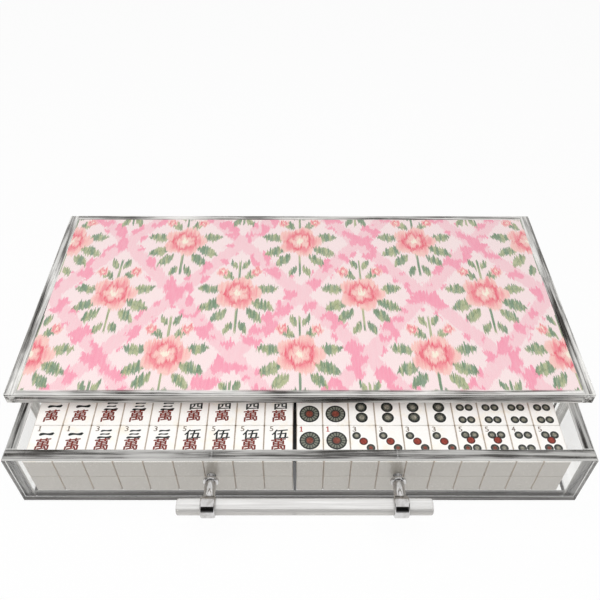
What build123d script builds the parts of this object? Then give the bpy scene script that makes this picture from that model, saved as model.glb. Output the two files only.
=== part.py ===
from build123d import *
import os

# A clear acrylic case for a set of game tiles. Two shallow drawers slide out of it, one to the front
# and one to the back, on one bottom sheet and under a thick top panel that holds a printed sheet.
# Millimetres, +Z up, the front is towards -Y. The origin is the middle of the underside, on the table.
# The front drawer stands part open, and the rear drawer is shut. The case is sized round its tiles.

# Tiles: two rows in two layers, in a left and a right block
left_tile_width = 24.9  # the photo shows the left block's tiles a little wider
right_tile_width = 22.8
tile_length = 30.0
tile_thickness = 23.8
tile_corner_chamfer = 1.2
tile_rows = 2
left_columns = 9
right_columns = 10
tile_gap = 0.15  # between neighbours in a row
row_gap = 0.2
tile_play = 0.6  # in front of and behind the rows
tile_seat = 0.05  # under each loose tile
left_end_gap = 3.4
right_end_gap = 8.05

# Drawer
panel_thickness = 10.0  # its front, back and two sides
floor_thickness = 9.4
headroom = 10.3  # from the tops of the tiles up to the rim
rim_bevel = 1.4
accessory_well = 32.1  # behind the long divider, for dice and counters
long_divider_thickness = 4.5
long_divider_drop = 5.0  # from the rim down to the divider's top edge
groove_depth = 4.0  # routed into the sides for the long divider
groove_fit = 0.15
tile_divider_thickness = 2.5
divider_fit = 0.2

# Pull: a clear rod in two collars, each on a post with a flange
pull_height = 35.7  # above the drawer's underside
pull_offset = 4.0  # right of the drawer's middle
pull_spacing = 159.0
pull_standoff = 24.7  # from the drawer's face to the rod's axis
rod_diameter = 13.5
rod_length = 211.0
rod_end_chamfer = 1.2
rod_fit = 0.1
collar_diameter = 18.0
collar_width = 12.3
post_diameter = 10.0
flange_diameter = 13.4
flange_thickness = 3.0
flange_chamfer = 1.2
screw_diameter = 4.0
screw_fit = 0.2
screw_grip = 9.0  # length that goes into the post
screw_head_diameter = 7.6
screw_head_height = 2.2
screw_sink = 0.3  # of the head, below the inner face of the panel
socket_flats = 2.5
socket_depth = 1.3
grub_diameter = 3.0
grub_fit = 0.1
grub_recess = 0.3

# Case
wall_thickness = 10.0
wall_setback = 16.0  # of the side walls, behind the front and back edges of the top panel
bottom_thickness = 8.0
partition_thickness = 8.0
side_clearance = 0.5
back_clearance = 0.5
running_clearance = 0.3
rim_clearance = 2.3
front_opening = 55.2  # how far the front drawer stands out

# Top panel: a thick sheet with a shallow pocket, the printed sheet in it and a clear cover over both
top_sheet_thickness = 9.0
cover_thickness = 3.0
cover_chamfer = 0.5
print_thickness = 0.4
print_fit = 0.2
print_side_margin = 9.5
print_end_margin = 5.0

# Sizes that follow from those above
left_block = left_columns * left_tile_width + (left_columns - 1) * tile_gap
right_block = right_columns * right_tile_width + (right_columns - 1) * tile_gap
divider_slot = tile_divider_thickness + 2 * divider_fit
inner_width = left_end_gap + left_block + divider_slot + right_block + right_end_gap
rows_depth = tile_rows * tile_length + (tile_rows - 1) * row_gap
tile_well = rows_depth + 2 * tile_play
inner_depth = tile_well + long_divider_thickness + accessory_well
drawer_width = inner_width + 2 * panel_thickness
drawer_depth = inner_depth + 2 * panel_thickness
stack_height = 2 * (tile_seat + tile_thickness)
drawer_height = floor_thickness + stack_height + headroom

bay_width = drawer_width + 2 * side_clearance
bay_height = running_clearance + drawer_height + rim_clearance
case_width = bay_width + 2 * wall_thickness
case_depth = 2 * (drawer_depth + back_clearance) + partition_thickness
top_underside = bottom_thickness + bay_height
cover_underside = top_underside + top_sheet_thickness
case_height = cover_underside + cover_thickness


def slab(x_span, y_span, z_span):
    """A plain sheet between its low and high faces along each axis."""
    lows = (x_span[0], y_span[0], z_span[0])
    sides = (x_span[1] - x_span[0], y_span[1] - y_span[0], z_span[1] - z_span[0])
    return Pos(*lows) * Box(*sides, align=(Align.MIN, Align.MIN, Align.MIN))


def about(middle, size):
    """The low and high ends of a size that lies evenly about a middle."""
    return (middle - size / 2, middle + size / 2)


def rod_along_x(diameter, x_span, y, z):
    """A round bar along X between two ends."""
    turned = Plane.YZ.offset(x_span[0]) * Pos(y, z) * Circle(diameter / 2)
    return extrude(turned, amount=x_span[1] - x_span[0])


def rod_along_y(diameter, y_span, x, z):
    """A round bar along Y between two ends."""
    turned = Plane.XZ.offset(-y_span[1]) * Pos(x, z) * Circle(diameter / 2)
    return extrude(turned, amount=y_span[1] - y_span[0])


def group(solids):
    """Several separate solids that share one name."""
    return Compound(children=list(solids))


# ---- the case ----


def case_bottom():
    return slab(about(0, case_width), about(0, case_depth), (0, bottom_thickness))


def case_wall(side):
    """A side wall, on the left for -1 and on the right for 1."""
    middle = side * (case_width - wall_thickness) / 2
    depth = case_depth - 2 * wall_setback
    return slab(about(middle, wall_thickness), about(0, depth), (bottom_thickness, top_underside))


def partition():
    """The upright between the two bays, which both drawers stop against."""
    return slab(
        about(0, bay_width), about(0, partition_thickness), (bottom_thickness, top_underside)
    )


def print_spans(fit):
    """Width and depth of the printed sheet's place, with the same fit all round."""
    width = case_width - 2 * print_side_margin + 2 * fit
    depth = case_depth - 2 * print_end_margin + 2 * fit
    return about(0, width), about(0, depth)


def top_sheet():
    """The thick sheet, with a pocket as deep as the printed sheet."""
    sheet = slab(about(0, case_width), about(0, case_depth), (top_underside, cover_underside))
    pocket = slab(*print_spans(print_fit), (cover_underside - print_thickness, cover_underside))
    return sheet - pocket


def print_sheet():
    return slab(*print_spans(0), (cover_underside - print_thickness, cover_underside))


def cover_sheet():
    """The thin clear cover, with its upper edges eased."""
    sheet = slab(about(0, case_width), about(0, case_depth), (cover_underside, case_height))
    return chamfer(sheet.faces().sort_by(Axis.Z)[-1].edges(), cover_chamfer)


# ---- a drawer, from the middle of its front face's foot, with its depth along +Y ----

floor_top = floor_thickness
long_divider_front = panel_thickness + tile_well
long_divider_span = (long_divider_front, long_divider_front + long_divider_thickness)
tile_block_left = -inner_width / 2 + left_end_gap
slot_left = tile_block_left + left_block
right_block_left = slot_left + divider_slot
rows_front = panel_thickness + tile_play
pull_places = about(pull_offset, pull_spacing)


def screw_head(x, face_y, fit):
    """A countersunk head that opens towards +Y, flat at face_y, made larger all round by fit."""
    flat_radius = screw_head_diameter / 2 + fit
    neck_radius = screw_diameter / 2 + fit
    flat = Plane.XZ.offset(-face_y) * Pos(x, pull_height) * Circle(flat_radius)
    neck = Plane.XZ.offset(screw_head_height - face_y) * Pos(x, pull_height) * Circle(neck_radius)
    return loft([neck, flat])


def drawer_face():
    """The front panel: bevelled along its rim and bored for the two pull screws."""
    panel = slab(about(0, drawer_width), (0, panel_thickness), (0, drawer_height))
    rim = panel.faces().sort_by(Axis.Z)[-1].edges().sort_by(Axis.Y)
    panel = chamfer(rim[:-1], rim_bevel)
    head_face = panel_thickness - screw_sink
    for x in pull_places:
        panel -= rod_along_y(screw_diameter + 2 * screw_fit, (0, panel_thickness), x, pull_height)
        panel -= screw_head(x, head_face, screw_fit)
        recess = screw_head_diameter + 2 * screw_fit
        panel -= rod_along_y(recess, (head_face, panel_thickness), x, pull_height)
    return panel


def drawer_back():
    panel = slab(
        about(0, drawer_width), (drawer_depth - panel_thickness, drawer_depth), (0, drawer_height)
    )
    rim = panel.faces().sort_by(Axis.Z)[-1].edges().sort_by(Axis.Y)
    return chamfer(rim[1:], rim_bevel)


def drawer_side(side):
    """A side panel between front and back, with a routed groove that takes the long divider's end."""
    middle = side * (drawer_width - panel_thickness) / 2
    depth_span = (panel_thickness, drawer_depth - panel_thickness)
    panel = slab(about(middle, panel_thickness), depth_span, (0, drawer_height))
    rim = panel.faces().sort_by(Axis.Z)[-1].edges().sort_by(Axis.X)
    panel = chamfer(rim[0] if side < 0 else rim[-1], rim_bevel)
    groove_middle = side * (inner_width + groove_depth) / 2
    groove_span = (long_divider_span[0] - groove_fit, long_divider_span[1] + groove_fit)
    return panel - slab(
        about(groove_middle, groove_depth), groove_span, (floor_top, drawer_height)
    )


def drawer_floor():
    depth_span = (panel_thickness, drawer_depth - panel_thickness)
    return slab(about(0, inner_width), depth_span, (0, floor_thickness))


def long_divider():
    """Parts the tile well from the accessory well. Its ends stand in the grooves of the two sides."""
    length = inner_width + 2 * (groove_depth - groove_fit)
    height_span = (floor_top, drawer_height - long_divider_drop)
    return slab(about(0, length), long_divider_span, height_span)


def tile_divider():
    """The thin dark upright between the two blocks of tiles."""
    left = slot_left + divider_fit
    depth_span = (rows_front, rows_front + rows_depth)
    width_span = (left, left + tile_divider_thickness)
    return slab(width_span, depth_span, (floor_top, floor_top + stack_height))


def tile(width):
    """One tile lying on its back, eased along the four edges that run to its ends."""
    end = Rectangle(width, tile_thickness, align=(Align.MIN, Align.MIN))
    end = chamfer(end.vertices(), tile_corner_chamfer)
    return extrude(Plane.XZ * end, amount=-tile_length)


def tile_block(left, columns, width, layer):
    """One layer of a block, column by column and row by row."""
    one = tile(width)
    foot = floor_top + tile_seat + layer * (tile_thickness + tile_seat)
    return group(
        Pos(left + column * (width + tile_gap), rows_front + row * (tile_length + row_gap), foot) * one
        for row in range(tile_rows)
        for column in range(columns)
    )


# ---- the pull ----


def pull_rod():
    rod = rod_along_x(rod_diameter, about(pull_offset, rod_length), -pull_standoff, pull_height)
    ends = rod.edges().filter_by(GeomType.CIRCLE)
    return chamfer(ends, rod_end_chamfer)


def upright_rod(diameter, length, x, top):
    """A round bar that hangs down from its top end, under the rod's axis."""
    bar = Cylinder(diameter / 2, length, align=(Align.CENTER, Align.CENTER, Align.MAX))
    return Pos(x, -pull_standoff, top) * bar


def pull_collar(x):
    """A ring round the rod, with a hole underneath for its grub screw."""
    ring = rod_along_x(collar_diameter, about(x, collar_width), -pull_standoff, pull_height)
    ring -= rod_along_x(rod_diameter + 2 * rod_fit, about(x, collar_width), -pull_standoff, pull_height)
    return ring - upright_rod(grub_diameter + 2 * grub_fit, collar_diameter / 2, x, pull_height)


def grub_screw(x):
    """A headless screw that bears on the rod from below."""
    length = (collar_diameter - rod_diameter) / 2 - grub_recess
    return upright_rod(grub_diameter, length, x, pull_height - rod_diameter / 2)


def pull_post(x):
    """A round post from the flange to the collar, coped to sit on the collar and bored for its screw."""
    post = rod_along_y(post_diameter, (-pull_standoff, -flange_thickness), x, pull_height)
    post -= rod_along_x(collar_diameter, about(x, collar_width), -pull_standoff, pull_height)
    bore_end = -flange_thickness - screw_grip - screw_fit
    return post - rod_along_y(
        screw_diameter + 2 * screw_fit, (bore_end, -flange_thickness), x, pull_height
    )


def pull_flange(x):
    """A round foot against the drawer's face, with its outer edge eased."""
    disc = rod_along_y(flange_diameter, (-flange_thickness, 0), x, pull_height)
    outer_edge = disc.edges().filter_by(GeomType.CIRCLE).sort_by(Axis.Y)[0]
    disc = chamfer(outer_edge, flange_chamfer)
    return disc - rod_along_y(
        screw_diameter + 2 * screw_fit, (-flange_thickness, 0), x, pull_height
    )


def pull_screw(x):
    """A countersunk screw from inside the drawer, through panel and flange, into the post."""
    face_y = panel_thickness - screw_sink
    shank = rod_along_y(
        screw_diameter, (-flange_thickness - screw_grip, face_y - screw_head_height), x, pull_height
    )
    socket = Plane.XZ.offset(-face_y) * Pos(x, pull_height) * RegularPolygon(
        socket_flats / 2, 6, major_radius=False
    )
    return shank + screw_head(x, face_y, 0) - extrude(socket, amount=socket_depth)


def drawer_pieces():
    """Every piece of one drawer, by name, in the drawer's own place."""
    pieces = {
        "drawer_face": drawer_face(),
        "drawer_back": drawer_back(),
        "drawer_left_side": drawer_side(-1),
        "drawer_right_side": drawer_side(1),
        "drawer_floor": drawer_floor(),
        "long_divider": long_divider(),
        "tile_divider": tile_divider(),
        "pull_rod": pull_rod(),
        "pull_collars": group(pull_collar(x) for x in pull_places),
        "pull_posts": group(pull_post(x) for x in pull_places),
        "pull_flanges": group(pull_flange(x) for x in pull_places),
        "pull_screws": group(pull_screw(x) for x in pull_places),
        "grub_screws": group(grub_screw(x) for x in pull_places),
    }
    for layer, level in enumerate(("lower", "upper")):
        left = tile_block(tile_block_left, left_columns, left_tile_width, layer)
        right = tile_block(right_block_left, right_columns, right_tile_width, layer)
        pieces[f"left_tiles_{level}"] = left
        pieces[f"right_tiles_{level}"] = right
    return pieces


def all_pieces():
    """The whole case by node name, with each drawer moved to where it stands."""
    pieces = {
        "case_bottom": case_bottom(),
        "case_left_wall": case_wall(-1),
        "case_right_wall": case_wall(1),
        "case_partition": partition(),
        "top_sheet": top_sheet(),
        "print_sheet": print_sheet(),
        "cover_sheet": cover_sheet(),
    }
    drawer_foot = bottom_thickness + running_clearance
    places = {
        "front": Location((0, -case_depth / 2 - front_opening, drawer_foot)),
        "rear": Location((0, case_depth / 2, drawer_foot), (0, 0, 180)),
    }
    drawer = drawer_pieces()
    for end, place in places.items():
        for name, shape in drawer.items():
            pieces[f"{end}_{name}"] = place * shape
    return pieces


os.makedirs("parts", exist_ok=True)
for node, shape in all_pieces().items():
    export_step(shape, f"parts/{node}.step")
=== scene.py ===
import math
import time

import bmesh
import bpy
import numpy as np
from mathutils import Matrix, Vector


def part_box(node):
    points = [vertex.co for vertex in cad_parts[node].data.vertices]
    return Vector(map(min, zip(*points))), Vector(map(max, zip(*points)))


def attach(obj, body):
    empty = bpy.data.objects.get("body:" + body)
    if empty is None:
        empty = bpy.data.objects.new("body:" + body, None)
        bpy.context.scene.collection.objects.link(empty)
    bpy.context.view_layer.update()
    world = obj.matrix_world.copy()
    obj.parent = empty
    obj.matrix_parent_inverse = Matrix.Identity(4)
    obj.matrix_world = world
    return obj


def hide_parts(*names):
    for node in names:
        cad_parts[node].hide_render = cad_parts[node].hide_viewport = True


startTime = time.time()
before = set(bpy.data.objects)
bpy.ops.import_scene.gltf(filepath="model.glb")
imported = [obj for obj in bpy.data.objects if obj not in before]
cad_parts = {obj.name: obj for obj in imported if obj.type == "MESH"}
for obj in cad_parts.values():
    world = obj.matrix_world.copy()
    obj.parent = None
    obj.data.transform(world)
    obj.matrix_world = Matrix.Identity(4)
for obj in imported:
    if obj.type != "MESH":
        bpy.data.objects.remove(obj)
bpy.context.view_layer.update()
mm = 0.001
ends = ("front", "rear")


def report(stage):
    print(f"{stage}: {time.time() - startTime:.1f} s")


# angles in degrees
view = {"lens": 40.0, "place": (-0.9 * mm, -464.7 * mm, 556.0 * mm),
        "tilt": 44.37, "turn": -0.14, "roll": 0.13}
light = {"skyLevel": 0.33, "keyPower": 22.5, "keySize": 1.5, "keyPlace": (-0.15, -0.45, 1.5)}


def addObject(name, data):
    made = bpy.data.objects.new(name, data)
    bpy.context.scene.collection.objects.link(made)
    return made


def addCamera():
    camera = addObject("camera", bpy.data.cameras.new("camera"))
    camera.data.lens = view["lens"]
    camera.data.sensor_width = 36
    turn = Matrix.Rotation(math.radians(view["turn"]), 4, "Z")
    tilt = Matrix.Rotation(math.radians(view["tilt"]), 4, "X")
    roll = Matrix.Rotation(math.radians(view["roll"]), 4, "Z")
    camera.matrix_world = Matrix.Translation(view["place"]) @ turn @ tilt @ roll
    camera.data.clip_start = 0.01
    bpy.context.scene.camera = camera
    bpy.context.scene.view_settings.view_transform = "Standard"


def addLamp(name, place, target, size, power):
    lamp = bpy.data.lights.new(name, "AREA")
    lamp.size = size
    lamp.energy = power
    holder = addObject(name, lamp)
    holder.location = place
    aim = np.subtract(target, place)
    holder.rotation_euler = (math.acos(-aim[2] / np.linalg.norm(aim)), 0, math.atan2(aim[0], -aim[1]))
    holder.visible_glossy = holder.visible_transmission = False


def tint(red, green, blue):  # a colour written as 0 to 255, made linear
    part = [c / 255 for c in (red, green, blue)]
    return [c / 12.92 if c < 0.04045 else ((c + 0.055) / 1.055) ** 2.4 for c in part] + [1]


class Wire:  # one socket of a material; sums written with it become Math nodes
    def __init__(self, tree, socket=None):
        self.tree = tree
        self.socket = socket

    def node(self, kind, settings=None, inputs=None, output=0):  # any node: its settings, then its sockets
        made = self.tree.nodes.new(kind)
        for name, value in (settings or {}).items():
            setattr(made, name, value)
        for name, value in (inputs or {}).items():
            if isinstance(value, Wire):
                self.tree.links.new(value.socket, made.inputs[name])
            else:
                made.inputs[name].default_value = value
        return None if output is None else Wire(self.tree, made.outputs[output])

    def math(self, operation, *values):
        return self.node("ShaderNodeMath", {"operation": operation}, dict(enumerate(values)))

    def __add__(self, other):
        return self.math("ADD", self, other)

    def __radd__(self, other):
        return self.math("ADD", other, self)

    def __sub__(self, other):
        return self.math("SUBTRACT", self, other)

    def __rsub__(self, other):
        return self.math("SUBTRACT", other, self)

    def __mul__(self, other):
        return self.math("MULTIPLY", self, other)

    def __rmul__(self, other):
        return self.math("MULTIPLY", other, self)

    def __truediv__(self, other):
        return self.math("DIVIDE", self, other)

    def __gt__(self, other):
        return self.math("GREATER_THAN", self, other)

    def __lt__(self, other):
        return self.math("LESS_THAN", self, other)

    def root(self):
        return self.math("SQRT", self)

    def size(self):
        return self.math("ABSOLUTE", self)

    def fraction(self):
        return self.math("FRACT", self)

    def sine(self):
        return self.math("SINE", self)

    def larger(self, other):
        return self.math("MAXIMUM", self, other)

    def step(self, low, high):  # 0 at low, 1 at high, with a soft turn between
        span = {"From Min": low, "From Max": high}
        return self.node("ShaderNodeMapRange", {"interpolation_type": "SMOOTHSTEP"}, {"Value": self, **span})

    def paint(self, under, over):  # the colour under where this is 0, and over where it is 1
        return self.node("ShaderNodeMix", {"data_type": "RGBA"}, {0: self, 6: under, 7: over}, 2)

    def place(self):  # x, y and z in the frame that every piece shares, in metres
        return self.node("ShaderNodeTexCoord", output="Object")

    def split(self):
        return [self.node("ShaderNodeSeparateXYZ", {}, {0: self}, axis) for axis in range(3)]

    def stretch(self, scale):
        return self.node("ShaderNodeVectorMath", {"operation": "MULTIPLY"}, {0: self, 1: scale})

    def noise(self, scale, detail=2.0, roughness=0.5):  # soft noise from 0 to 1 on this vector
        inputs = {"Vector": self, "Scale": scale, "Detail": detail, "Roughness": roughness}
        return self.node("ShaderNodeTexNoise", {}, inputs)

    def attribute(self, name):
        return self.node("ShaderNodeAttribute", {"attribute_name": name}, output="Fac")

    def bump(self, height, strength, distance):
        return self.node("ShaderNodeBump", {}, {"Height": height, "Strength": strength, "Distance": distance})


def newMaterial(name):
    material = bpy.data.materials.new(name)
    material.use_nodes = True
    material.node_tree.nodes.clear()
    return material, Wire(material.node_tree)


def finishMaterial(material, wire, fixed, varying, letsLightThrough=False, over=None):
    surface = wire.node("ShaderNodeBsdfPrincipled", {}, {**fixed, **varying})
    if over:  # a share of the surface that shows another finish
        surface = wire.node("ShaderNodeMixShader", {}, {0: over[0], 1: surface, 2: over[1]})
    if letsLightThrough:  # lamps reach what lies behind the clear sheet
        shadow = wire.node("ShaderNodeLightPath", output="Is Shadow Ray")
        diffuse = wire.node("ShaderNodeLightPath", output="Is Diffuse Ray")
        through = wire.node("ShaderNodeBsdfTransparent", {}, {"Color": (0.97, 0.965, 0.96, 1)})
        surface = wire.node("ShaderNodeMixShader", {}, {0: shadow.larger(diffuse), 1: surface, 2: through})
    wire.node("ShaderNodeOutputMaterial", {}, {"Surface": surface}, None)
    return material


def addMesh(name, points, faces, material, body, smooth=None, attributes=None):
    mesh = bpy.data.meshes.new(name)
    mesh.from_pydata(np.asarray(points, float).tolist(), [], [list(map(int, f)) for f in faces])
    for label, values in (attributes or {}).items():
        mesh.attributes.new(label, "FLOAT", "POINT").data.foreach_set("value", np.asarray(values, np.float32))
    flags = np.ones(len(mesh.polygons), bool) if smooth is None else np.asarray(smooth, bool)
    mesh.polygons.foreach_set("use_smooth", flags)
    mesh.materials.append(material)
    mesh.update()
    piece = addObject(name, mesh)
    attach(piece, body)
    return piece


def vectorsOf(items, label):  # a row for each of a mesh's points or faces
    values = np.empty(len(items) * 3)
    items.foreach_get(label, values)
    return values.reshape(-1, 3)


def gridFaces(rows, columns, closed):  # quads of a rows by columns grid whose columns may close on themselves
    spans = columns if closed else columns - 1
    i, j = np.meshgrid(np.arange(rows - 1), np.arange(spans), indexing="ij")
    k = (j + 1) % columns
    corners = (i * columns + j, i * columns + k, (i + 1) * columns + k, (i + 1) * columns + j)
    return np.stack(corners, -1).reshape(-1, 4)


def repeated(points, faces, places):  # copies of one shape, each moved by its row of places
    moved = (points[None] + np.asarray(places)[:, None]).reshape(-1, 3)
    shifted = [np.asarray(f) + n * len(points) for n in range(len(places)) for f in faces]
    return moved, shifted


# Cuts says how the cut edges of each kind of sheet look. Their grey streaks are partly sawn finish and partly
# a painted reflection of the room. Axes gives the ways their streaks run, and satin is the share of sawn
# finish.
# Strength is how much they show, and 1 where it isn't given. Least is the darkest they may get, from 0 for
# dark to 1 for pale. Shade is painted shade over them all, low is painted shade near the table, and ends
# darkens those that cross the sheet's long way. Border is where the top panel's rim begins
clearSheet = {
    "pale": tint(253, 253, 252), "streakLight": tint(251, 251, 250), "streakDark": tint(116, 114, 111),
    "satinDark": tint(44, 40, 36), "satinLight": tint(246, 245, 242), "streakScale": (330.0, 11.0),
    "streakSpan": (0.37, 0.61), "lowSpan": (8.6 * mm, 20 * mm), "bevel": 0.85 * mm, "film": 0.03 * mm,
    "rimDepth": 1.2 * mm, "flat": 0.985, "sharpAngle": 0.7,
    "cuts": {"alongX": {"axes": (0, 2), "satin": 0.26, "low": 0.8, "ends": 0.45},
             "alongY": {"axes": (1, 2), "satin": 0.26, "low": 1.0, "ends": 0.3},
             "wall": {"axes": (1, 2), "satin": 0.5, "low": 0.2, "least": 0.8},
             "floor": {"axes": (0, 1), "satin": 0.7, "low": 0.9, "shade": 0.25},
             "bottom": {"axes": (0, 1), "satin": 0.2, "low": 0.3, "strength": 0.9},
             "inner": {"axes": (0, 2), "satin": 0.1, "low": 0.3, "strength": 0.4},
             "top": {"axes": (0, 1), "satin": 0.42, "border": (245.4 * mm, 117.4 * mm)}}}


def streakNoise(place, long):  # noise drawn out along one axis
    across, along = clearSheet["streakScale"]
    scale = [across] * 3
    scale[long] = along
    return place.stretch(scale).noise(1.0, 4.0, 0.6)


def clearMaterial(kind):
    cut = clearSheet["cuts"][kind]
    material, wire = newMaterial("clear_" + kind)
    place = wire.place()
    x, y, z = place.split()
    edge, crossed = wire.attribute("edge"), wire.attribute("crossed")
    if "border" in cut:  # seen from above, the rim of the top panel gets the same painted streaks as its edges
        sides = x.size() > cut["border"][0]
        edge = edge.larger(sides.larger(y.size() > cut["border"][1]))
        crossed = crossed.larger(sides)
    edge = edge * cut.get("strength", 1.0)
    long, short = cut["axes"]
    streak = streakNoise(place, long) * (1 - crossed) + streakNoise(place, short) * crossed
    cloud = place.stretch([30, 30, 30]).noise(1.0, 2.0)
    low = (1 - z.step(*clearSheet["lowSpan"])) * cut.get("low", 0)
    arris = wire.attribute("arris")
    # level is 0 in the darkest streaks and 1 in the palest, a painted reflection; the arrises are kept pale
    # as a painted highlight, and painted shade darkens it near the table and over the whole sheet
    level = (streak * 0.8 + cloud * 0.2).step(*clearSheet["streakSpan"])
    level = level.larger(arris * 0.9 + cut.get("least", 0))
    level = level * (1 - low) * (1 - crossed * cut.get("ends", 0)) * cut.get("shade", 1)
    grey = level.paint(clearSheet["streakDark"], clearSheet["streakLight"])
    colour = edge.paint(clearSheet["pale"], grey)
    normal = wire.bump(streak * edge, 0.25, 0.0004)
    varying = {"Base Color": colour, "Roughness": edge * (streak * 0.16) + 0.01, "Normal": normal}
    fixed = {"Transmission Weight": 1.0, "IOR": 1.49, "Specular Tint": (0.3, 0.3, 0.3, 1)}
    # the sawn finish's colour carries the same painted reflection, highlight and shade
    satin = level.paint(clearSheet["satinDark"], clearSheet["satinLight"])
    sawn = wire.node("ShaderNodeBsdfDiffuse", {}, {"Color": satin, "Normal": normal})
    # near the table more of the edge shows the dark sawn finish, as painted shade
    share = edge * (streak.step(0.3, 0.75) * 0.25 + cut["satin"] + low * 0.6 + arris * 0.3)
    return finishMaterial(material, wire, fixed, varying, True, (share, sawn))


def clearPiece(node, thin, long, material, body):
    # a copy of the CAD sheet with eased arrises, scaled about its middle by one less twice the film over its
    # size; its faces are marked as cut edge, as crossing the long way and as arris
    shape = bmesh.new()
    shape.from_mesh(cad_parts[node].data)
    bmesh.ops.remove_doubles(shape, verts=shape.verts, dist=1e-6)
    bmesh.ops.dissolve_limit(shape, angle_limit=0.02, verts=shape.verts, edges=shape.edges)
    joined = [e for e in shape.edges if len(e.link_faces) == 2]
    sharp = [e for e in joined if e.calc_face_angle(0) > clearSheet["sharpAngle"]]
    bmesh.ops.bevel(shape, geom=sharp, offset=clearSheet["bevel"], segments=2, profile=0.6, affect="EDGES",
                    clamp_overlap=True)
    bmesh.ops.recalc_face_normals(shape, faces=shape.faces)
    mesh = bpy.data.meshes.new(node + "_clear")
    shape.to_mesh(mesh)
    shape.free()
    points = vectorsOf(mesh.vertices, "co")
    low, high = points.min(0), points.max(0)
    middle = (low + high) / 2
    points = middle + (points - middle) * (1 - 2 * clearSheet["film"] / (high - low))
    mesh.vertices.foreach_set("co", points.ravel())
    mesh.update()
    normals = np.abs(vectorsOf(mesh.polygons, "normal"))
    centres = vectorsOf(mesh.polygons, "center")
    depth = np.minimum(centres - low, high - centres)
    depth[:, thin] = 1  # the thin way doesn't count, so that grooves and bores inside the outline stay clear
    edge = (normals[:, thin] < clearSheet["flat"]) & (depth.min(1) < clearSheet["rimDepth"])
    arris = edge & (normals.max(1) < clearSheet["flat"])
    for label, values in (("edge", edge), ("crossed", normals[:, long] > 0.7), ("arris", arris)):
        mesh.attributes.new(label, "FLOAT", "FACE").data.foreach_set("value", values.astype(np.float32))
    mesh.materials.clear()
    mesh.materials.append(material)
    piece = addObject(node + "_clear", mesh)
    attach(piece, body)
    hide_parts(node)


# the thin way and the long way of each sheet, and its kind of cut edge
caseSheets = {"case_bottom": (2, 0, "bottom"), "case_left_wall": (0, 1, "wall"),
              "case_right_wall": (0, 1, "wall"), "case_partition": (1, 0, "wall"),
              "top_sheet": (2, 0, "top"), "cover_sheet": (2, 0, "top")}
drawerSheets = {"drawer_face": (1, 0, "alongX"), "drawer_back": (1, 0, "alongX"),
                "drawer_left_side": (0, 1, "alongY"), "drawer_right_side": (0, 1, "alongY"),
                "drawer_floor": (2, 0, "floor"), "long_divider": (1, 0, "inner")}


def addClearSheets():
    made = {kind: clearMaterial(kind) for kind in clearSheet["cuts"]}
    for node, (thin, long, kind) in caseSheets.items():
        clearPiece(node, thin, long, made[kind], "case")
    for end in ends:
        for part, (thin, long, kind) in drawerSheets.items():
            clearPiece(f"{end}_{part}", thin, long, made[kind], end + "_drawer")


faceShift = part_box("rear_drawer_face")[1].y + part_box("front_drawer_face")[0].y


def turned(points, end):  # the rear drawer is the front one turned half round and set back
    points = np.asarray(points, float)
    return points if end == "front" else points * (-1, -1, 1) + (0, faceShift, 0)


def spanOf(node):
    low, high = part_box(node)
    return np.array(low), np.array(high)


# left and right: how many columns of tiles the block has, and the gap between them
# the grey side colour is painted shade on the tiles' sides below their top face
tiles = {"left": (9, 0.15 * mm), "right": (10, 0.15 * mm), "rowGap": 0.2 * mm, "round": 0.9 * mm,
         "ivory": tint(252, 250, 246), "warm": tint(249, 241, 226), "side": tint(200, 195, 187),
         "jointGrimeAndShade": tint(176, 146, 110), "jointFootShade": tint(34, 28, 24)}


def ivoryMaterial():
    material, wire = newMaterial("tileIvory")
    place = wire.place()
    height = place.split()[2]
    bottom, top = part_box("front_left_tiles_lower")[0].z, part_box("front_left_tiles_upper")[1].z
    mottle = place.stretch([60, 60, 60]).noise(1.0, 3.0, 0.6)
    fine = place.stretch([700, 700, 300]).noise(1.0, 2.0)
    # the brown joint colour is grime with painted shade between the tiles, and the near black one is painted
    # shade at their foot
    grimeAndShade = (wire.attribute("rim") * (0.7 + fine * 0.6)).step(0.3, 1.0)
    body = mottle.step(0.5, 0.78).paint(tiles["ivory"], tiles["warm"])
    face = height.step(top - 1.2 * mm, top - 0.5 * mm)  # painted shade: below their top face the tiles are greyer
    body = face.paint(tiles["side"], body)
    colour = (grimeAndShade * 0.85).paint(body, tiles["jointGrimeAndShade"])
    foot = 1 - height.step(bottom, bottom + 5 * mm)  # painted shade: the joints are darkest at their foot
    colour = (grimeAndShade * foot).paint(colour, tiles["jointFootShade"])
    rough = 0.2 + fine * 0.12 + grimeAndShade * 0.2
    normal = wire.bump(mottle, 0.08, 0.0006)
    fixed = {"IOR": 1.5, "Coat Roughness": 0.08}
    varying = {"Base Color": colour, "Roughness": rough, "Normal": normal}
    return finishMaterial(material, wire, fixed, varying)


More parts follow.
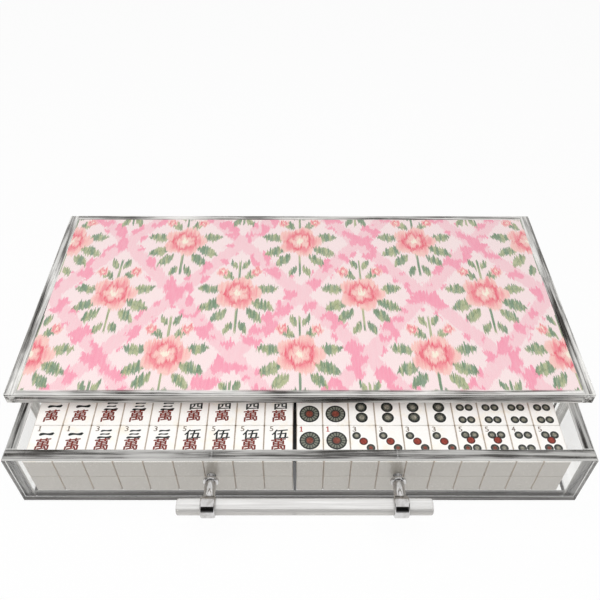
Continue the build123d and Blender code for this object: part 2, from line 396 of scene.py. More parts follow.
def roundedBlock(size, radius, steps):
    # a block with round arrises: each side of a cube is a grid of directions, and a point is the inner box's
    # corner plus the radius times its direction's unit vector
    turn = np.tan(np.linspace(-1, 0, steps + 1) * np.pi / 4)
    slope = np.concatenate([turn, -turn[::-1]])
    side = np.repeat([-1.0, 1.0], steps + 1)
    inner = np.asarray(size) / 2 - radius
    count = len(slope)
    cell = gridFaces(count, count, False)
    allPoints, allFaces, flat = [], [], []
    for axis in range(3):
        for sign in (-1, 1):
            way = np.zeros((count, count, 3))
            way[..., axis] = sign
            way[..., (axis + 1) % 3] = slope[:, None]
            way[..., (axis + 2) % 3] = slope[None, :]
            core = np.zeros((count, count, 3))
            core[..., axis] = sign
            core[..., (axis + 1) % 3] = side[:, None]
            core[..., (axis + 2) % 3] = side[None, :]
            grid = core * inner + radius * way / np.linalg.norm(way, axis=-1, keepdims=True)
            allFaces.append((cell[:, ::-1] if sign > 0 else cell) + len(allPoints) * count * count)
            allPoints.append(grid.reshape(-1, 3))
            flat.append(np.arange(len(cell)) == len(cell) // 2)
    points, faces = np.concatenate(allPoints), np.concatenate(allFaces)
    unique, back = np.unique(np.round(points, 8), axis=0, return_inverse=True)
    over = np.abs(unique) > inner + 1e-7
    rim = (over.sum(1) > 1) * np.where(over[:, 0], 1.0, 0.5)  # grime and painted shade gather most between the columns
    return unique, back.ravel()[faces], ~np.concatenate(flat), rim


def tilePlaces(block, layer):  # middles of one block's tiles, in the front drawer, with their common size
    low, high = spanOf(f"front_{block}_tiles_{layer}")
    columns, gap = tiles[block]
    width = (high[0] - low[0] - (columns - 1) * gap) / columns
    length = (high[1] - low[1] - tiles["rowGap"]) / 2
    x = low[0] + width / 2 + np.arange(columns) * (width + gap)
    y = low[1] + length / 2 + np.arange(2) * (length + tiles["rowGap"])
    grid = np.stack(np.meshgrid(x, y, [(low[2] + high[2]) / 2]), -1).reshape(-1, 3)
    return grid, (width, length, high[2] - low[2])


def addTiles():
    ivory = ivoryMaterial()
    for block in ("left", "right"):
        for layer in ("lower", "upper"):
            places, size = tilePlaces(block, layer)
            points, faces, smooth, rim = roundedBlock(size, tiles["round"], 1)
            for end in ends:
                moved, cells = repeated(points, faces, places)
                node = f"{end}_{block}_tiles_{layer}"
                piece = addMesh(node + "_polished", turned(moved, end), cells, ivory, end + "_drawer",
                                np.tile(smooth, len(places)), {"rim": np.tile(rim, len(places))})
                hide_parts(node)


# pipDrop is how far the pips start below the other paint
paint = {"lift": 0.05 * mm, "thick": 0.03 * mm, "pipDrop": 0.02 * mm, "black": tint(22, 28, 28),
         "red": tint(112, 38, 28), "index": tint(112, 98, 86), "indexRed": tint(170, 52, 48),
         "green": tint(40, 84, 58)}


def inkMaterial(name, colour):
    material, wire = newMaterial(name)
    brush = wire.place().stretch([900, 260, 100]).noise(1.0, 3.0, 0.6)
    paler = [min(1, c * 2.2 + 0.012) for c in colour[:3]] + [1]  # where the brush ran dry
    shade = brush.step(0.5, 0.78).paint(colour, paler)
    normal = wire.bump(brush, 0.2, 0.0002)
    varying = {"Base Color": shade, "Roughness": 0.35 + brush * 0.2, "Normal": normal}
    return finishMaterial(material, wire, {"IOR": 1.5}, varying)


def glyph(character, width, height, slant):  # a character as a flat solid about its middle, in metres
    curve = bpy.data.curves.new("glyph", "FONT")
    curve.body = character
    curve.resolution_u = 2
    curve.extrude = 0.5
    holder = addObject("glyph", curve)
    bpy.context.view_layer.update()
    mesh = bpy.data.meshes.new_from_object(holder.evaluated_get(bpy.context.evaluated_depsgraph_get()))
    points = vectorsOf(mesh.vertices, "co")
    faces = [tuple(p.vertices) for p in mesh.polygons]
    bpy.data.objects.remove(holder)
    bpy.data.curves.remove(curve)
    low, high = points.min(0), points.max(0)
    points = (points - (low + high) / 2) / (high - low)
    points[:, 1] += points[:, 0] * slant
    return points * (width, height, paint["thick"]), faces


class Sheaf:  # gathers many painted shapes into one mesh
    def __init__(self):
        self.points, self.faces, self.total, self.extra = [], [], 0, []

    def add(self, points, faces, place, extra=None):
        self.faces += [tuple(i + self.total for i in f) for f in faces]
        self.points.append(np.asarray(points) + place)
        self.total += len(points)
        if extra is not None:
            self.extra.append(extra)


def pipPoints(radius, rings=3, spokes=20):
    # rings of points about a middle: the height is the paint's thickness times one less the radius's share
    turn = np.arange(spokes) * 2 * np.pi / spokes
    part = np.linspace(1, 0, rings + 1)[:-1]
    flat = np.stack([np.outer(part, np.cos(turn)), np.outer(part, np.sin(turn))], -1).reshape(-1, 2) * radius
    height = np.repeat(1 - part, spokes) * paint["thick"]
    points = np.concatenate([np.column_stack([flat, height]), [[0, 0, paint["thick"]]]])
    faces = [tuple(f) for f in gridFaces(rings, spokes, True)]
    last = (rings - 1) * spokes
    faces += [(last + j, last + (j + 1) % spokes, rings * spokes) for j in range(spokes)]
    return points, faces


def pipMaterial():
    # pips carry their own flat map, from -1 to 1: its length is how far out, its angle how far round. Big is
    # 1 on a tile's only pip, and warm is how red the pip is
    material, wire = newMaterial("paintedPips")
    across, up, warm, big = (wire.attribute(name) for name in ("across", "up", "warm", "big"))
    around, out = wire.math("ARCTAN2", up, across), (across * across + up * up).root()
    brush = wire.place().stretch([900, 900, 100]).noise(1.0, 3.0, 0.6)
    petals = (around * (5.0 + big * 3.0)).sine().size()
    spokes = ((petals - 0.45).step(0.0, 0.3)) * (out > 0.42) * (out < 0.84) * (big * 0.7 + 0.25)
    heart = 1 - (out + brush * 0.1).step(0.42 - big * 0.08, 0.56 - big * 0.12)
    ring = (out > 0.7 + big * 0.14).larger((out > 0.42) * (out < 0.5) * big)
    ground = brush.step(0.4, 0.65).paint(tint(40, 43, 39), tint(88, 90, 82))
    body = spokes.paint(ground, tint(126, 128, 116))
    body = ring.paint(body, tint(26, 30, 28))
    redHeart = brush.step(0.4, 0.7).paint(tint(104, 50, 40), tint(152, 84, 68))
    greyHeart = brush.step(0.4, 0.7).paint(tint(120, 118, 104), tint(178, 172, 158))
    body = heart.paint(body, (warm > 0.25).paint(greyHeart, redHeart))
    redBody = brush.step(0.35, 0.7).paint(tint(116, 36, 28), tint(164, 72, 56))
    redBody = (out > 0.72).paint(redBody, tint(70, 28, 22))
    colour = (warm > 0.75).paint(body, redBody)
    normal = wire.bump(brush, 0.2, 0.0002)
    varying = {"Base Color": colour, "Roughness": 0.32 + brush * 0.2, "Normal": normal}
    return finishMaterial(material, wire, {"IOR": 1.5}, varying)


def addPip(sheaf, place, radius, warm):
    points, faces = pipPoints(radius)
    same = np.ones((len(points), 1))
    flatMap = points[:, :2] / radius
    sheaf.add(points, faces, place, np.hstack([flatMap, same * warm, same * (radius > 6 * mm)]))


# pips of each number: x and y from the tile's middle in mm, radius in mm, and how red it is
pipLayouts = {
    1: [(0, -0.4, 8.9, 0.5)],
    2: [(0, 6.1, 5.3, 0), (0, -4.8, 5.3, 0)],
    3: [(-5.7, 4.4, 3.7, 0), (0, -1.2, 3.7, 1), (5.8, -7.6, 3.7, 0.5)],
    4: [(-3.9, 5.0, 3.7, 0), (3.9, 5.0, 3.7, 0), (-3.6, -7.9, 3.7, 0), (3.9, -7.9, 3.7, 0)],
    5: [(-3.9, 5.2, 3.7, 0), (3.9, 5.2, 3.7, 0), (0, 0, 3.7, 1), (-3.9, -7.7, 3.7, 0.5), (3.9, -7.7, 3.7, 0)],
}
backRowShift = {1: -3.0, 2: -2.4, 3: -2.0, 4: -1.6, 5: -1.6}  # in mm, for the row further from the pull
# what the upper tiles show, left block then right block; the row nearest the pull comes first
shown = {"front": {"left": ["一一三三三伍伍伍伍", "一一三三三四四四四"],
                   "right": [[1, 1, 3, 3, 3, 3, 5, 5, 4, 5], [1, 1, 2, 2, 2, 2, 4, 4, 4, 4]]},
         "rear": {"left": ["二二二六六七七八八", "二二六六七七八九九"],
                  "right": [[0, 0, 0, 0, 6, 6, 6, 7, 7, 7], [0, 0, 0, 0, 8, 8, 8, 9, 9, 9]]}}
numerals = "一二三四伍六七八九"
winds = "東南西北"
# width and height in mm of each drawn character, and how much it rises to the right
glyphSizes = {"四": (10.8, 6.0, 0.16), "伍": (13.8, 9.4, 0.16), "六": (13, 8.6, 0.16), "七": (13, 8.6, 0.16),
              "八": (13, 8, 0.16), "九": (13, 8.6, 0.16), "萬": (12.2, 11.6, 0.14)}
glyphSizes.update({wind: (15, 18, 0.08) for wind in winds})
glyphSizes.update({str(digit): (3.0, 5.0, 0) for digit in range(2, 10)})
# x and y in mm from the tile's middle; a numeral and the character under it have one place for each row
paintPlaces = {"numeral": ((1.2, 5.9), (1.2, 4.6)), "under": ((0, -4.3), (0, -5.2)), "wind": (0, -1),
               "numeralIndex": (-6.2, 11.4), "pipIndex": (-7.2, 11.0), "stickIndex": (-8.6, 11.4)}
# sizes in mm: how much of the tile the rows fill and the gap between them, then a stick's width and pitch
sticks = {"fill": 24.0, "gap": 2.6, "width": 2.4, "pitch": 4.6, "drop": 1,
          "rows": {6: (3, 3), 7: (1, 3, 3), 8: (4, 4), 9: (3, 3, 3)}}


def beside(middle, offset):  # a place given in mm from a tile's middle
    return (middle[0] + offset[0] * mm, middle[1] + offset[1] * mm, middle[2])


def stick(width, height):
    # a bamboo stick: its half width is half of width times 0.62 plus 0.38 of the squared cosine of two turns
    count = 13
    y = np.linspace(-0.5, 0.5, count)
    half = 0.5 * width * (0.62 + 0.38 * np.cos(4 * np.pi * y) ** 2)
    left = np.column_stack([-half, y * height, 0 * y])
    right = np.column_stack([half, y * height, 0 * y])
    faces = [(i, i + count, i + count + 1, i + 1) for i in range(count - 1)]
    return np.concatenate([left, right]), faces


def paintTiles(end, sheaves):
    for block in ("left", "right"):
        places, size = tilePlaces(block, "upper")
        columns = tiles[block][0]
        top = places[0][2] + size[2] / 2 + paint["lift"]
        for row in range(2):
            for column in range(columns):
                x, y = places.reshape(2, columns, 3)[row, column, :2]
                paintFace(sheaves, shown[end][block][row][column], (x, y, top), row, column)


def paintFace(sheaves, value, middle, row, column):
    if isinstance(value, str):
        addNumeral(sheaves["black"], value, beside(middle, paintPlaces["numeral"][row]))
        addBold(sheaves["red"], "萬", beside(middle, paintPlaces["under"][row]))
        addIndex(sheaves["index"], numerals.index(value) + 1, beside(middle, paintPlaces["numeralIndex"]))
    elif value == 0:
        addBold(sheaves["black"], winds[column], beside(middle, paintPlaces["wind"]))
    elif value < 6:
        for across, up, radius, warm in pipLayouts[value]:
            x, y, top = beside(middle, (across, up + backRowShift[value] * row))
            addPip(sheaves["pips"], (x, y, top - paint["pipDrop"]), radius * mm, warm)
        name = "indexRed" if value == 1 else "index"
        addIndex(sheaves[name], value, beside(middle, paintPlaces["pipIndex"]))
    else:
        paintSticks(sheaves, value, middle)
        addIndex(sheaves["index"], value, beside(middle, paintPlaces["stickIndex"]))


def brushStroke(start, finish, width):
    # pairs of points either side of a line, which sways by 0.16 of the width times the sine of one turn; the
    # half width is 0.76 plus 0.24 of the cosine of one turn, times the root of one less the eighth power of
    # how far the point is from the stroke's middle
    count = 12
    start, finish = np.array(start, float), np.array(finish, float)
    part = np.linspace(0, 1, count)
    half = 0.5 * width * (0.76 + 0.24 * np.cos(2 * np.pi * part)) * np.sqrt(1 - (2 * part - 1) ** 8)
    line = start + (finish - start) * part[:, None]
    line[:, 1] += 0.16 * width * np.sin(2 * np.pi * part)
    along = (finish - start) / np.linalg.norm(finish - start)
    side = np.array([-along[1], along[0]]) * half[:, None]
    points = np.concatenate([line + side, line - side])
    faces = [(i, i + count, i + count + 1, i + 1) for i in range(count - 1)]
    return np.column_stack([points, np.full(2 * count, paint["thick"])]), faces


strokes = {  # start and finish in mm from the numeral's middle, and the brush's width
    "一": [((-6.8, -0.9), (6.4, 0.9), 3.2)],
    "二": [((-4.2, 2.4), (4.2, 3.4), 2.2), ((-6.2, -3.4), (6.2, -2.0), 2.6)],
    "三": [((-4.6, 2.8), (5.4, 4.2), 2.1), ((-4.6, -0.5), (4.2, 0.6), 1.9), ((-6.6, -3.9), (6.2, -2.5), 2.5)],
}


def addNumeral(sheaf, value, place):
    for start, finish, width in strokes.get(value, []):
        sheaf.add(*brushStroke(np.multiply(start, mm), np.multiply(finish, mm), width * mm), place)
    if value not in strokes:
        addBold(sheaf, value, place)


drawnGlyphs = {}


def drawnGlyph(character):  # each character is made once
    if character not in drawnGlyphs:
        width, height, slant = glyphSizes[character]
        drawnGlyphs[character] = glyph(character, width * mm, height * mm, slant)
    return drawnGlyphs[character]


def addBold(sheaf, character, place):  # drawn four times, each a little aside, for a brush's weight
    points, faces = drawnGlyph(character)
    for count, (x, y) in enumerate(((-0.26, 0), (0.26, 0.06), (0, -0.2), (0, 0.22))):
        sheaf.add(points, faces, np.add(place, (x * mm, y * mm, 0.004 * mm * count)))


def addIndex(sheaf, digit, place):  # a small number in the tile's corner
    if digit > 1:
        points, faces = drawnGlyph(str(digit))
        for aside in (-0.1, 0.1):
            sheaf.add(points, faces, np.add(place, (aside * mm, 0, 0.004 * mm * aside)))
        return
    outline = np.array([(-0.5, -2), (-1.3, -2), (-1.3, -2.6), (1.3, -2.6), (1.3, -2), (0.5, -2),
                        (0.5, 2.6), (-0.3, 2.6), (-1.3, 1.8), (-1.3, 1.1), (-0.5, 1.6)]) * mm
    points = np.column_stack([outline, np.full(len(outline), paint["thick"])])
    sheaf.add(points, [tuple(range(len(outline)))], place)


def paintSticks(sheaves, value, middle):  # rows of sticks, of which the middle one of three is red
    rows = sticks["rows"][value]
    pitch = sticks["fill"] / len(rows)
    points, faces = stick(sticks["width"] * mm, (pitch - sticks["gap"]) * mm)
    for line, count in enumerate(rows):
        for number in range(count):
            aside = (number - (count - 1) / 2) * sticks["pitch"]
            ahead = ((len(rows) - 1) / 2 - line) * pitch - sticks["drop"]
            colour = "red" if count == 3 and number == 1 else "green"
            sheaves[colour].add(points, faces, beside(middle, (aside, ahead)))


def addPaint():
    colours = ("black", "red", "index", "indexRed", "green")
    materials = {name: inkMaterial("ink_" + name, paint[name]) for name in colours}
    materials["pips"] = pipMaterial()
    for end in ends:
        sheaves = {name: Sheaf() for name in materials}
        paintTiles(end, sheaves)
        for name, sheaf in sheaves.items():
            if not sheaf.total:
                continue
            values = {}
            if name == "pips":
                table = np.concatenate(sheaf.extra)
                values = dict(zip(("across", "up", "warm", "big"), table.T))
            points = turned(np.concatenate(sheaf.points), end)
            flags = np.full(len(sheaf.faces), name == "pips")
            piece = addMesh(f"{end}_tile_paint_{name}", points, sheaf.faces, materials[name], end + "_drawer",
                            flags, values)


# shrink draws the collars in from the CAD, and bore is the room between the rod and its collars
pull = {"rodRound": 1.6 * mm, "collarRound": 1.3 * mm, "collarWidth": 12.3 * mm, "flangeRound": 1.2 * mm,
        "shrink": 0.03 * mm, "bore": 0.1 * mm, "flangeBore": 0.9, "spokes": 72}


def chromeMaterial():
    material, wire = newMaterial("chromePlate")
    haze = wire.place().stretch([160, 160, 160]).noise(1.0, 3.0, 0.6)
    swirl = wire.place().stretch([2200, 500, 500]).noise(1.0, 2.0)
    colour = haze.step(0.35, 0.75).paint(tint(214, 213, 213), tint(186, 184, 182))
    rough = 0.045 + haze * 0.07 + swirl * 0.03
    normal = wire.bump(swirl, 0.03, 0.0002)
    varying = {"Base Color": colour, "Roughness": rough, "Normal": normal}
    return finishMaterial(material, wire, {"Metallic": 1.0}, varying)


def steelMaterial():
    material, wire = newMaterial("zincSteel")
    haze = wire.place().stretch([900, 900, 900]).noise(1.0, 3.0, 0.6)
    colour = haze.step(0.35, 0.7).paint(tint(226, 226, 228), tint(196, 196, 200))
    normal = wire.bump(haze, 0.1, 0.0001)
    varying = {"Base Color": colour, "Roughness": 0.26 + haze * 0.2, "Normal": normal}
    return finishMaterial(material, wire, {"Metallic": 1.0}, varying)


def rodMaterial():
    material, wire = newMaterial("clearRod")
    place = wire.place()
    streak = place.stretch([14, 520, 520]).noise(1.0, 3.0, 0.55)
    colour = streak.step(0.42, 0.66).paint(tint(214, 214, 214), tint(250, 251, 251))
    normal = wire.bump(streak, 0.15, 0.0003)
    varying = {"Base Color": colour, "Roughness": 0.02 + streak * 0.06, "Normal": normal}
    fixed = {"Transmission Weight": 1.0, "IOR": 1.49, "Specular Tint": (0.6, 0.6, 0.6, 1)}
    cloudy = wire.node("ShaderNodeBsdfDiffuse", {}, {"Color": tint(234, 232, 229)})
    return finishMaterial(material, wire, fixed, varying, True, (0.16 + streak * 0.32, cloudy))


# black for the divider between the tile blocks, standing in partly for the shade in the narrow gap there
def blackMaterial():
    material, wire = newMaterial("blackDividerAndGapShade")
    haze = wire.place().stretch([80, 80, 80]).noise(1.0, 3.0, 0.6)
    colour = haze.step(0.4, 0.75).paint(tint(14, 14, 15), tint(30, 30, 32))
    normal = wire.bump(haze, 0.05, 0.0004)
    varying = {"Base Color": colour, "Roughness": 0.3 + haze * 0.2, "Normal": normal}
    return finishMaterial(material, wire, {"IOR": 1.3}, varying)


def easedCorner(along, out, radius, turnFrom, steps=5):
    # a quarter turn about a middle: along plus radius times cosine, out plus radius times sine
    angle = np.radians(np.linspace(turnFrom, turnFrom - 90, steps + 1))
    return np.column_stack([along + radius * np.cos(angle), out + radius * np.sin(angle)])


def spun(profile, axis, middle):
    # a profile of (along, out) pairs carried round an axis: out times cosine, out times sine
    count = pull["spokes"]
    turn = np.arange(count) * 2 * np.pi / count
    along, out = np.asarray(profile).T
    ring = np.zeros((len(along), count, 3))
    ring[..., axis] = along[:, None]
    ring[..., (axis + 1) % 3] = out[:, None] * np.cos(turn)
    ring[..., (axis + 2) % 3] = out[:, None] * np.sin(turn)
    return ring.reshape(-1, 3) + middle, gridFaces(len(along), count, True)


def capped(points, faces, rows):  # closes the first and last ring with one face each
    count = pull["spokes"]
    last = (rows - 1) * count
    caps = [tuple(range(count))[::-1], tuple(last + i for i in range(count))]
    return points, [tuple(f) for f in faces] + caps


def outward(piece):  # turns every face outwards
    shape = bmesh.new()
    shape.from_mesh(piece.data)
    bmesh.ops.recalc_face_normals(shape, faces=shape.faces)
    shape.to_mesh(piece.data)
    shape.free()
    return piece


def pullSizes():  # as read from the CAD's front pull; both pulls are alike
    rodLow, rodHigh = spanOf("front_pull_rod")
    collarLow, collarHigh = spanOf("front_pull_collars")
    flangeLow, flangeHigh = spanOf("front_pull_flanges")
    postLow, postHigh = spanOf("front_pull_posts")
    half = pull["collarWidth"] / 2
    return {"rodMiddle": (rodLow[0] + rodHigh[0]) / 2, "rodHalf": (rodHigh[0] - rodLow[0]) / 2,
            "axisY": (rodLow[1] + rodHigh[1]) / 2, "axisZ": (rodLow[2] + rodHigh[2]) / 2,
            "rodRadius": (rodHigh[2] - rodLow[2]) / 2,
            "collarRadius": (collarHigh[2] - collarLow[2]) / 2 - pull["shrink"],
            "flangeRadius": (flangeHigh[2] - flangeLow[2]) / 2, "postRadius": (postHigh[2] - postLow[2]) / 2,
            "flangeFront": flangeLow[1], "flangeBack": flangeHigh[1], "postFoot": postHigh[1],
            "middles": (collarLow[0] + half, collarHigh[0] - half)}


def addRod(end, size, rodClear):
    # a cylinder whose two end arrises are quarter circles
    r = pull["rodRound"]
    right = easedCorner(size["rodHalf"] - r, size["rodRadius"] - r, r, 90)
    profile = np.concatenate([right[::-1] * (-1, 1), right])
    points, faces = spun(profile, 0, (size["rodMiddle"], size["axisY"], size["axisZ"]))
    points, faces = capped(points, faces, len(profile))
    rod = outward(addMesh(f"{end}_pull_rod_polished", turned(points, end), faces, rodClear, end + "_drawer"))
    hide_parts(f"{end}_pull_rod")


def addCollars(end, size, chrome):
    # rings whose two outer arrises are quarter circles and whose inside is a plain bore
    r, half = pull["collarRound"], pull["collarWidth"] / 2
    outer = easedCorner(half - r, size["collarRadius"] - r, r, 90)
    inner = size["rodRadius"] + pull["bore"]
    profile = np.concatenate([outer[::-1] * (-1, 1), outer, [(half, inner), (-half, inner)]])
    profile = np.concatenate([profile, profile[:1]])
    sheaf = Sheaf()
    for x in size["middles"]:
        points, faces = spun(profile, 0, (x, size["axisY"], size["axisZ"]))
        sheaf.add(points, faces, (0, 0, 0))
    addChrome(end, "pull_collars", sheaf, chrome)


def addFlanges(end, size, chrome):
    # discs with a plain bore, whose front arris is a quarter circle
    r, bore = pull["flangeRound"], size["postRadius"] * pull["flangeBore"]
    front = size["flangeFront"] - size["flangeBack"]
    edge = easedCorner(0, size["flangeRadius"] - r, r, 180)
    edge[:, 0] += front + r
    profile = np.concatenate([[(front, bore)], edge, [(0, size["flangeRadius"])], [(0, bore)]])
    profile = np.concatenate([profile, profile[:1]])
    sheaf = Sheaf()
    for x in size["middles"]:
        points, faces = spun(profile, 1, (x, size["flangeBack"], size["axisZ"]))
        sheaf.add(points, faces, (0, 0, 0))
    addChrome(end, "pull_flanges", sheaf, chrome)


def addPosts(end, size, chrome):
    sheaf = Sheaf()
    for x in size["middles"]:
        points, faces = copedPost(x, size)
        sheaf.add(points, faces, (0, 0, 0))
    addChrome(end, "pull_posts", sheaf, chrome)


def copedPost(x, size):
    # a round post whose far end follows the collar: its depth there is the root of the collar's radius
    # squared less the height squared
    count = pull["spokes"]
    turn = np.arange(count) * 2 * np.pi / count
    rings = []
    rows = [(0.02, 0), (1, 0), (1, 1), (0.7, 1), (0.35, 1), (0.02, 1)]  # share of the radius, and 1 if far
    for share, far in rows:
        reach = size["postRadius"] * share
        across, up = reach * np.cos(turn), reach * np.sin(turn)
        coped = size["axisY"] + np.sqrt(size["collarRadius"] ** 2 - up ** 2) + 0.02 * mm
        depth = coped if far else np.full(count, size["postFoot"])
        rings.append(np.column_stack([x + across, depth, size["axisZ"] + up]))
    return capped(np.concatenate(rings), gridFaces(len(rows), count, True), len(rows))


def addChrome(end, node, sheaf, chrome):
    points = turned(np.concatenate(sheaf.points), end)
    piece = outward(addMesh(f"{end}_{node}_plated", points, sheaf.faces, chrome, end + "_drawer"))
    piece.data.shade_smooth()
    piece.data.set_sharp_from_angle(angle=math.radians(50))
    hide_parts(f"{end}_{node}")


# pitches in mm
cloth = {"ground": tint(255, 233, 235), "band": tint(253, 208, 217), "blotch": tint(252, 158, 184),
         "petal": tint(247, 136, 148), "petalPale": tint(254, 203, 196), "petalDeep": tint(238, 90, 114),
         "heart": tint(255, 245, 226), "leaf": tint(112, 144, 114), "leafPale": tint(176, 184, 138),
         "rib": tint(98, 118, 84), "thread": tint(255, 250, 250), "pitchX": 122.8, "pitchY": 157.0}
# leaves in pairs up a stem: middle x and y in mm from the blossom, angle in degrees, half of length and width
leaves = ((25, -14, -28, 14, 7), (17, -28, -48, 12, 6), (28, 8, 8, 13, 6.5), (12, 29, 48, 11, 5),
          (6, 44, 66, 8, 3.6), (7, -44, -66, 9, 4))
# rings of petals: size, turn, outer colour and inner colour
petals = ((1.0, 0.0, cloth["petalPale"], cloth["petal"]), (0.6, 0.63, cloth["petalDeep"], cloth["petalPale"]))


def leafMask(x, y, leaf):
    # a pointed leaf: one less the length's share squared, less the width's share, is above nought inside it
    middleX, middleY, angle, long, wide = leaf
    c, s = math.cos(math.radians(angle)), math.sin(math.radians(angle))
    along = ((x - middleX) * c + (y - middleY) * s) / long
    across = ((y - middleY) * c - (x - middleX) * s) / wide
    return 1 - along * along - across.size(), across


def printMaterial():
    # a trellis of diamonds: the bands run where x over its pitch, plus or minus y over its own, is near a
    # whole number
    material, wire = newMaterial("printedSheet")
    place = wire.place()
    thread = place.stretch([720, 60, 60]).noise(1.0, 3.0, 0.7)
    slub = place.stretch([260, 22, 60]).noise(1.0, 3.0, 0.6)
    x, y, z = place.stretch([1000, 1000, 1000]).split()  # in mm
    x = x + (slub - 0.5) * 2.4  # every outline wavers with the threads
    y = y + (thread - 0.5) * 20.0 + (slub - 0.5) * 6.0
    u, v = x / cloth["pitchX"] + y / cloth["pitchY"], x / cloth["pitchX"] - y / cloth["pitchY"]
    cellU, cellV = u.fraction() - 0.5, v.fraction() - 0.5
    band = cellU.size().larger(cellV.size())
    spread = wire.node("ShaderNodeCombineXYZ", {}, {0: x, 1: y, 2: z})
    blotches = spread.noise(0.085, 1.0, 0.3).step(0.53, 0.545) * band.step(0.385, 0.395)
    colour = band.step(0.42, 0.43).paint(cloth["ground"], cloth["band"])
    colour = blotches.paint(colour, cloth["blotch"])
    dx = (cellU + cellV) * (cloth["pitchX"] / 2)
    dy = (cellU - cellV) * (cloth["pitchY"] / 2)
    mirrored = dx.size()
    colour = addLeaves(colour, mirrored, dy, thread, slub)
    colour = addBlossom(wire, colour, dx, dy - 2, 24.5, thread, slub)
    colour = addBlossom(wire, colour, mirrored - 17, dy - 33, 6.6, thread, slub)
    colour = (thread.step(0.3, 0.75) * 0.16).paint(colour, cloth["thread"])
    normal = wire.bump(thread, 0.15, 0.0002)
    varying = {"Base Color": colour, "Roughness": 0.55 + thread * 0.2, "Normal": normal}
    return finishMaterial(material, wire, {"IOR": 1.45}, varying)


def addLeaves(colour, mirrored, dy, thread, slub):
    masks = [leafMask(mirrored, dy, leaf) for leaf in leaves]
    ribs = [(across.size() < 0.1) * (inside > 0.05) for inside, across in masks]
    total, rib = masks[0][0], ribs[0]
    for (inside, across), line in zip(masks[1:], ribs[1:]):
        total = total.larger(inside)
        rib = rib.larger(line)
    stem = (mirrored < 1.1) * (dy.size() < 50)
    shade = (slub * 0.7 + thread * 0.3).step(0.44, 0.56).paint(cloth["leaf"], cloth["leafPale"])
    shade = (rib * 0.6).paint(shade, cloth["rib"])
    return total.step(0.0, 0.12).larger(stem).paint(colour, shade)


def addBlossom(wire, colour, x, y, radius, thread, slub):
    # five petals: the outline is the radius less a share of the cosine of two and a half turns
    out = (x * x + y * y).root() / radius
    angle = wire.math("ARCTAN2", y, x)
    for size, turn, outer, inner in petals:
        lobe = wire.math("COSINE", (angle + turn) * 2.5).size()
        limit = (0.74 + lobe * 0.26) * size
        fade = (out / limit + (slub - 0.5) * 0.9).step(0.5, 0.9)
        seam = (1 - lobe.step(0.05, 0.3)) * (out / size > 0.3)
        petal = (seam * 0.7).paint(fade.paint(inner, outer), cloth["petalDeep"])
        colour = (limit - out).step(0.0, 0.06).paint(colour, petal)
    heart = 1 - (out + (thread - 0.5) * 0.3).step(0.11, 0.17)
    return heart.paint(colour, cloth["heart"])


def addFloor():
    material, wire = newMaterial("paleTable")
    grain = wire.place().stretch([40, 40, 40]).noise(1.0, 2.0)
    white = (grain * 0.1).paint(tint(240, 240, 240), tint(232, 232, 232))
    body = wire.node("ShaderNodeBsdfDiffuse", {}, {"Color": white})
    glow = wire.node("ShaderNodeEmission", {}, {"Color": (1, 1, 1, 1), "Strength": 1.0})
    seen = directRays(wire) * 0.94
    surface = wire.node("ShaderNodeMixShader", {}, {0: seen, 1: body, 2: glow})
    wire.node("ShaderNodeOutputMaterial", {}, {"Surface": surface}, None)
    side = np.linspace(-4, 4, 9)  # a plain grid of squares
    x, y = np.meshgrid(side, side, indexing="ij")
    mesh = bpy.data.meshes.new("table")
    points = np.stack([x, y, np.full_like(x, -0.02 * mm)], -1).reshape(-1, 3)
    mesh.from_pydata(points.tolist(), [], gridFaces(len(side), len(side), False)[:, ::-1].tolist())
    mesh.materials.append(material)
    table = addObject("table", mesh)


def directRays(wire):  # 1 for rays from the camera, from a mirror or through clear sheet
    names = ("Is Camera Ray", "Is Glossy Ray", "Is Transmission Ray")
    rays = [wire.node("ShaderNodeLightPath", output=name) for name in names]
    return rays[0].larger(rays[1]).larger(rays[2])


def addSky():
    world = bpy.data.worlds.new("room")
    world.use_nodes = True
    world.node_tree.nodes.clear()
    wire = Wire(world.node_tree)
    level = light["skyLevel"]
    plain = wire.node("ShaderNodeBackground", {}, {"Color": (level, level, level, 1), "Strength": 1.0})
    white = wire.node("ShaderNodeBackground", {}, {"Color": (1, 1, 1, 1), "Strength": 1.0})
    sky = wire.node("ShaderNodeMixShader", {}, {0: directRays(wire), 1: plain, 2: white})
    wire.node("ShaderNodeOutputWorld", {}, {"Surface": sky}, None)
    bpy.context.scene.world = world


# middle, width and height of each dark board in metres, and how far it is turned from facing the front
boards = {"front": ((0, -1.15, 1.1), (2.0, 2.2), 0), "left": ((-1.2, -0.5, 0.62), (1.4, 1.2), 90),
          "right": ((1.2, -0.5, 0.62), (1.4, 1.2), 90)}


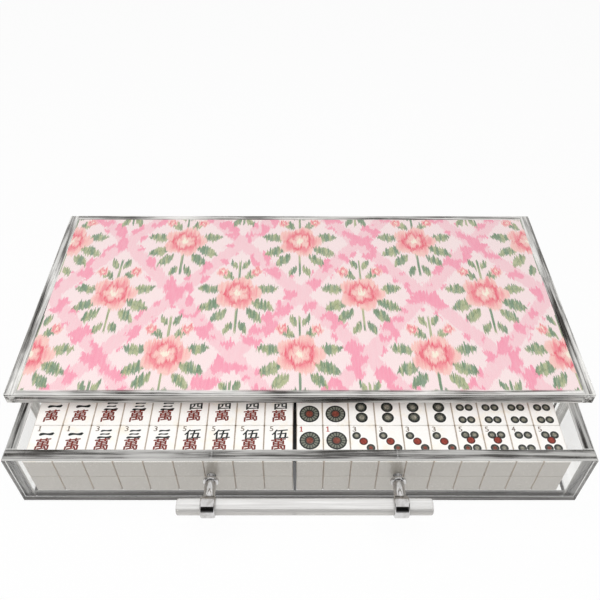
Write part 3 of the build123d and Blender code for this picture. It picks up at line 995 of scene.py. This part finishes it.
def addDarkBoards():
    # for the metal and the cut edges to mirror; each fades out towards its outline, by one less the eighth
    # power of how far the point is from the board's middle
    material, wire = newMaterial("darkBoard")
    dark = wire.node("ShaderNodeBsdfDiffuse", {}, {"Color": tint(20, 20, 20)})
    clear = wire.node("ShaderNodeBsdfTransparent")
    surface = wire.node("ShaderNodeMixShader", {}, {0: wire.attribute("dark"), 1: clear, 2: dark})
    wire.node("ShaderNodeOutputMaterial", {}, {"Surface": surface}, None)
    side = np.linspace(-1, 1, 21)
    across, up = (grid.ravel() for grid in np.meshgrid(side, side, indexing="ij"))
    for name, (middle, (width, height), turn) in boards.items():
        flat = across * width / 2
        c, s = math.cos(math.radians(turn)), math.sin(math.radians(turn))
        points = np.column_stack([flat * c, flat * s, up * height / 2]) + middle
        mesh = bpy.data.meshes.new("board_" + name)
        mesh.from_pydata(points.tolist(), [], gridFaces(len(side), len(side), False).tolist())
        fade = (1 - across ** 8) * (1 - up ** 8)
        mesh.attributes.new("dark", "FLOAT", "POINT").data.foreach_set("value", fade.astype(np.float32))
        mesh.materials.append(material)
        board = addObject("board_" + name, mesh)
        board.visible_camera = board.visible_diffuse = False
        board.visible_transmission = board.visible_shadow = False


addCamera()
addSky()
addFloor()
addDarkBoards()
addLamp("keyLamp", light["keyPlace"], (0, 0, 0.05), light["keySize"], light["keyPower"])
report("camera, lamps and table")
addClearSheets()
report("clear sheets")
addTiles()
report("tiles")
addPaint()
report("painted faces")
chrome, rodClear = chromeMaterial(), rodMaterial()
steel, black = steelMaterial(), blackMaterial()
size = pullSizes()
for end in ends:
    addRod(end, size, rodClear)
    addCollars(end, size, chrome)
    addFlanges(end, size, chrome)
    addPosts(end, size, chrome)
report("pulls")
dress = {"print_sheet": printMaterial()}
for end in ends:
    # the divider's black is partly painted shade of the gap between the tile blocks
    dress[f"{end}_tile_divider"] = black
    dress[f"{end}_pull_screws"] = dress[f"{end}_grub_screws"] = steel
for node, material in dress.items():
    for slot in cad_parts[node].material_slots:
        slot.material = material
report("materials of the plain pieces")
